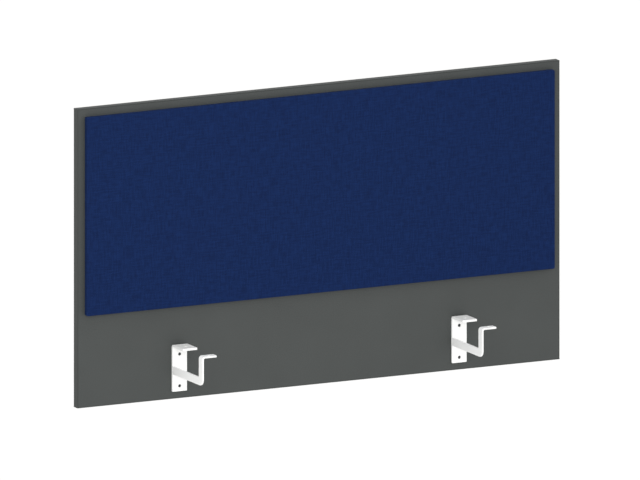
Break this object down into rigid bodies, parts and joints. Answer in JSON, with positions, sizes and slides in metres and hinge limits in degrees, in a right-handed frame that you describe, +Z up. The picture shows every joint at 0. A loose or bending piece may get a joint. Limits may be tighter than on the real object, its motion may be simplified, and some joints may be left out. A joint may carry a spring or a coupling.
{
  "type": "desk privacy panel",
  "caption": "Screen for the back of a desk: an edge-banded board with a clip-on upholstered pad, on welded steel brackets that screw up into the underside of the desk top.",
  "frame": {"origin": "the middle of the panel, on the board's front face, level with the desk's underside, which is the top face of the bracket flanges", "axes": "+X along the panel to the right as seen from the desk's user, +Y away from the user through the board, +Z up"},
  "size_m": [1.2, 0.1725, 0.68],
  "materials": {
    "board_melamine": "graphite grey melamine on chipboard, matt with a fine pearl texture",
    "edge_band": "2 mm ABS edge band in the board's grey",
    "pad_fibreboard": "bare soft fibreboard, hidden under the cloth",
    "pad_felt": "needled polyester felt, hidden under the cloth",
    "pad_cloth": "navy woven polyester crepe, matt",
    "clip_nylon": "natural nylon, as moulded",
    "bracket_paint": "white powder coat on steel",
    "screw_black": "black zinc-plated steel"
  },
  "bodies": {
    "root": {"board": "board_melamine", "edge_band_top": "edge_band", "edge_band_bottom": "edge_band", "edge_band_left": "edge_band", "edge_band_right": "edge_band", "pad_board": "pad_fibreboard", "pad_felt": "pad_felt", "pad_cover": "pad_cloth", "clip_socket_1": "clip_nylon", "clip_stud_1": "clip_nylon", "clip_socket_2": "clip_nylon", "clip_stud_2": "clip_nylon", "clip_socket_3": "clip_nylon", "clip_stud_3": "clip_nylon", "clip_socket_4": "clip_nylon", "clip_stud_4": "clip_nylon", "clip_socket_5": "clip_nylon", "clip_stud_5": "clip_nylon", "clip_socket_6": "clip_nylon", "clip_stud_6": "clip_nylon", "left_bracket_plate": "bracket_paint", "left_bracket_arm": "bracket_paint", "left_upper_bracket_screw": "screw_black", "left_lower_bracket_screw": "screw_black", "right_bracket_plate": "bracket_paint", "right_bracket_arm": "bracket_paint", "right_upper_bracket_screw": "screw_black", "right_lower_bracket_screw": "screw_black"}
  },
  "joints": []
}
